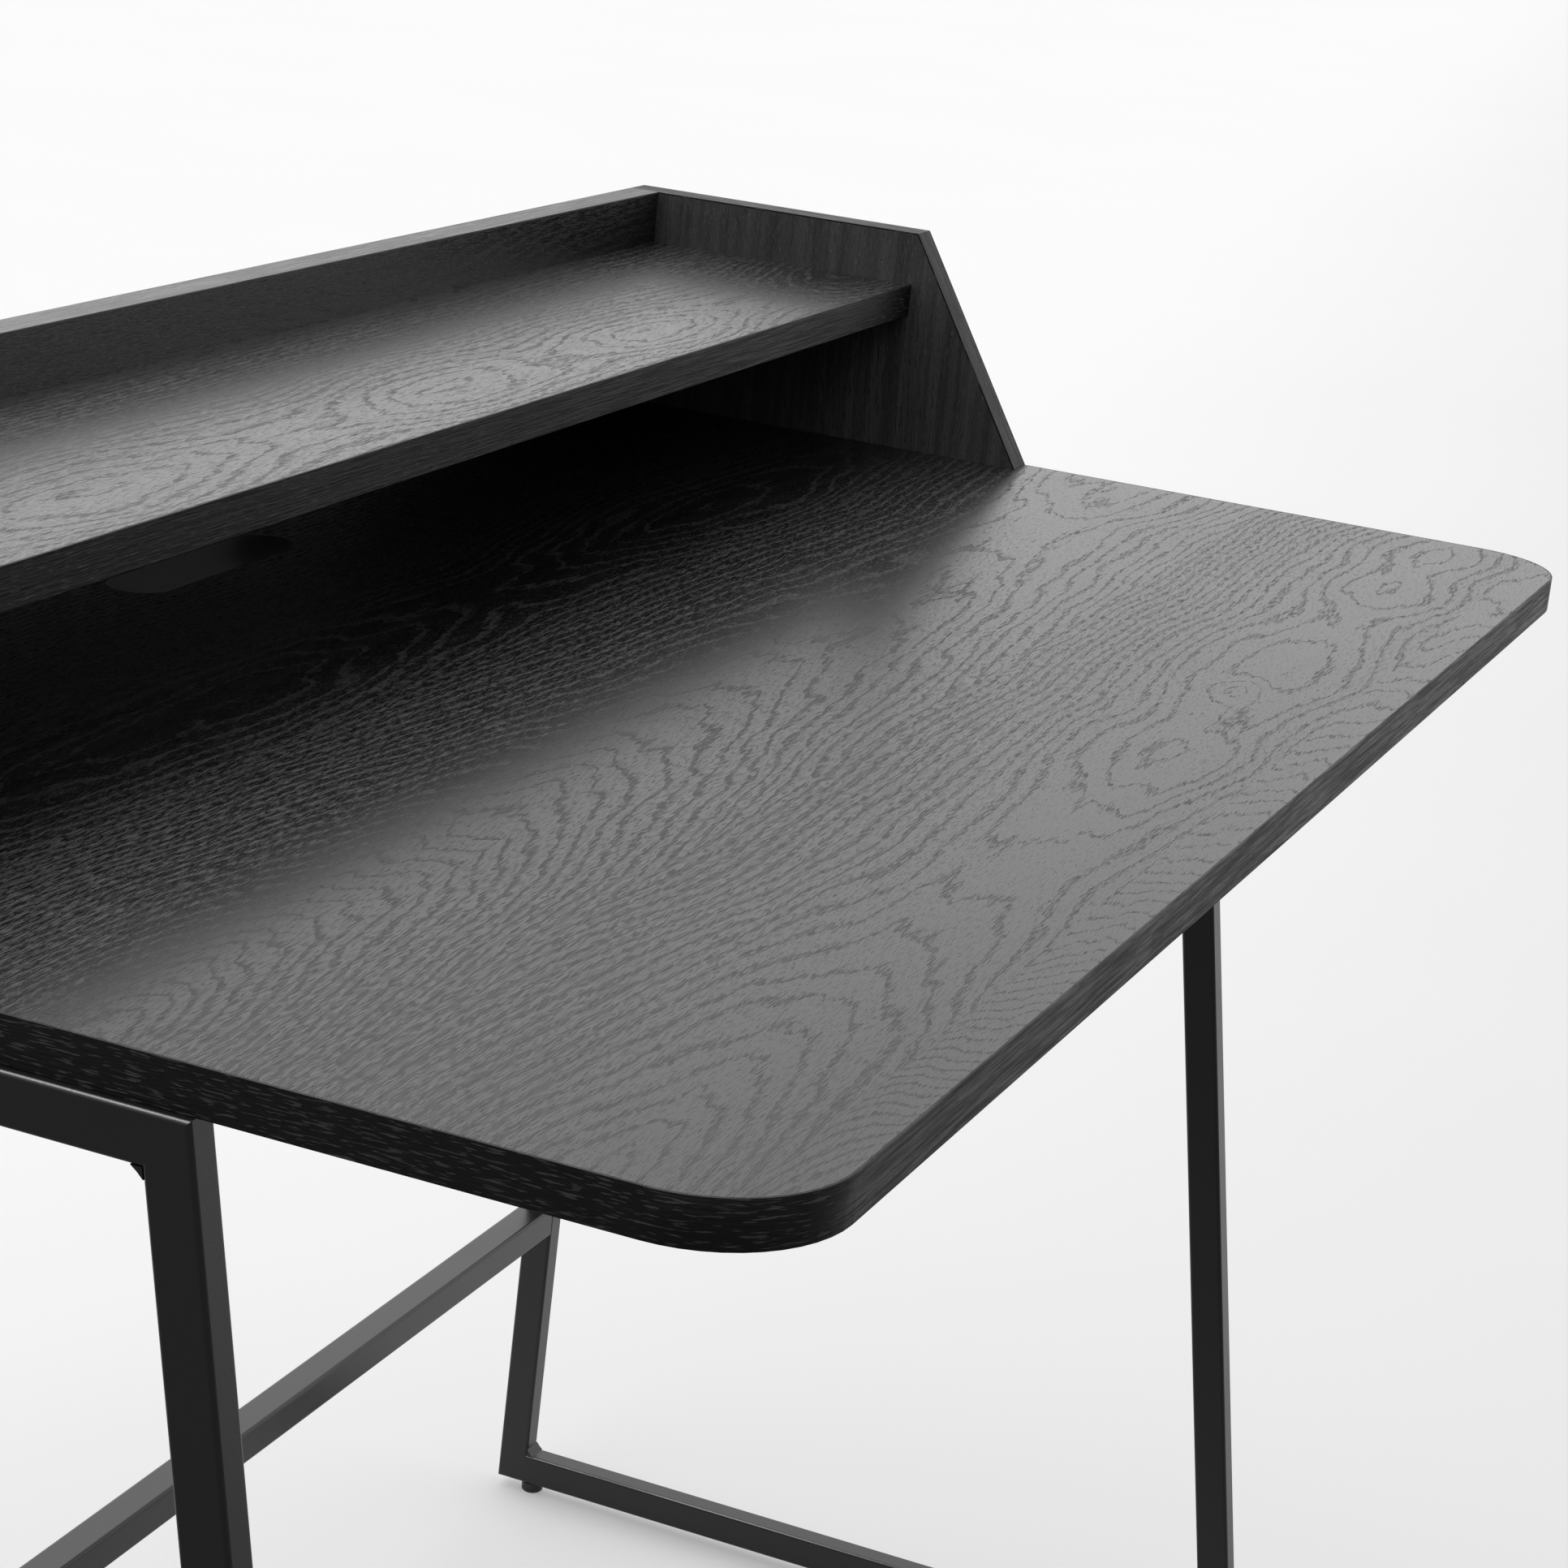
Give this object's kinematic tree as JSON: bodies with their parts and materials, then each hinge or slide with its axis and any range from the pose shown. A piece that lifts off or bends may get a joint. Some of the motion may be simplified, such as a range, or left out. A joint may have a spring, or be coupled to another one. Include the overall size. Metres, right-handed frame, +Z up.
{
  "type": "writing desk",
  "caption": "Writing desk with a low open hutch: black oak-veneered boards on two closed loops of rectangular steel tube with splayed legs, joined by a low rear stretcher, on levelling feet.",
  "frame": {"origin": "on the floor, under the middle of the whole desk's bounding box", "axes": "+X to the sitter's right along the desk's width, +Y from the front edge to the hutch at the back, +Z up"},
  "size_m": [1.092, 0.609, 0.877],
  "materials": {
    "black_oak_face": "open-pore oak veneer, stained black, satin lacquer",
    "black_oak_edge": "oak veneer edge band, stained black, satin lacquer",
    "black_powder_coat": "fine black powder coat, satin",
    "black_steel_bolt": "black-oxide steel, satin",
    "plain_steel": "zinc-plated steel",
    "zinc": "die-cast zinc alloy, matte",
    "beech": "unfinished beech",
    "black_plastic": "moulded nylon, fine texture"
  },
  "bodies": {
    "desk": {"desktop": "black_oak_face", "left_side_panel": "black_oak_face", "right_side_panel": "black_oak_face", "back_panel": "black_oak_face", "shelf": "black_oak_face", "desktop_edge_band": "black_oak_edge", "left_panel_edge_band": "black_oak_edge", "right_panel_edge_band": "black_oak_edge", "back_panel_edge_band": "black_oak_edge", "shelf_edge_band": "black_oak_edge", "left_top_rail": "black_powder_coat", "left_back_leg": "black_powder_coat", "left_bottom_rail": "black_powder_coat", "left_front_leg": "black_powder_coat", "right_top_rail": "black_powder_coat", "right_back_leg": "black_powder_coat", "right_bottom_rail": "black_powder_coat", "right_front_leg": "black_powder_coat", "left_corner_welds": "black_powder_coat", "right_corner_welds": "black_powder_coat", "left_mounting_lugs": "black_powder_coat", "right_mounting_lugs": "black_powder_coat", "stretcher": "black_powder_coat", "stretcher_end_plugs": "plain_steel", "stretcher_bolts": "black_steel_bolt", "lug_bolts": "black_steel_bolt", "hutch_screws": "plain_steel", "cam_bolts": "plain_steel", "foot_inserts": "plain_steel", "desktop_inserts": "zinc", "cam_housings": "zinc", "wood_dowels": "beech"},
    "front_left_foot": {"front_left_pad": "black_plastic", "front_left_stem": "plain_steel"},
    "front_right_foot": {"front_right_pad": "black_plastic", "front_right_stem": "plain_steel"},
    "back_left_foot": {"back_left_pad": "black_plastic", "back_left_stem": "plain_steel"},
    "back_right_foot": {"back_right_pad": "black_plastic", "back_right_stem": "plain_steel"}
  },
  "joints": [
    {"name": "front_left_level", "type": "slide", "parent": "desk", "child": "front_left_foot", "axis": [0, 0, -1], "range_m": [0, 0.008]},
    {"name": "front_right_level", "type": "slide", "parent": "desk", "child": "front_right_foot", "axis": [0, 0, -1], "range_m": [0, 0.008]},
    {"name": "back_left_level", "type": "slide", "parent": "desk", "child": "back_left_foot", "axis": [0, 0, -1], "range_m": [0, 0.008]},
    {"name": "back_right_level", "type": "slide", "parent": "desk", "child": "back_right_foot", "axis": [0, 0, -1], "range_m": [0, 0.008]}
  ]
}
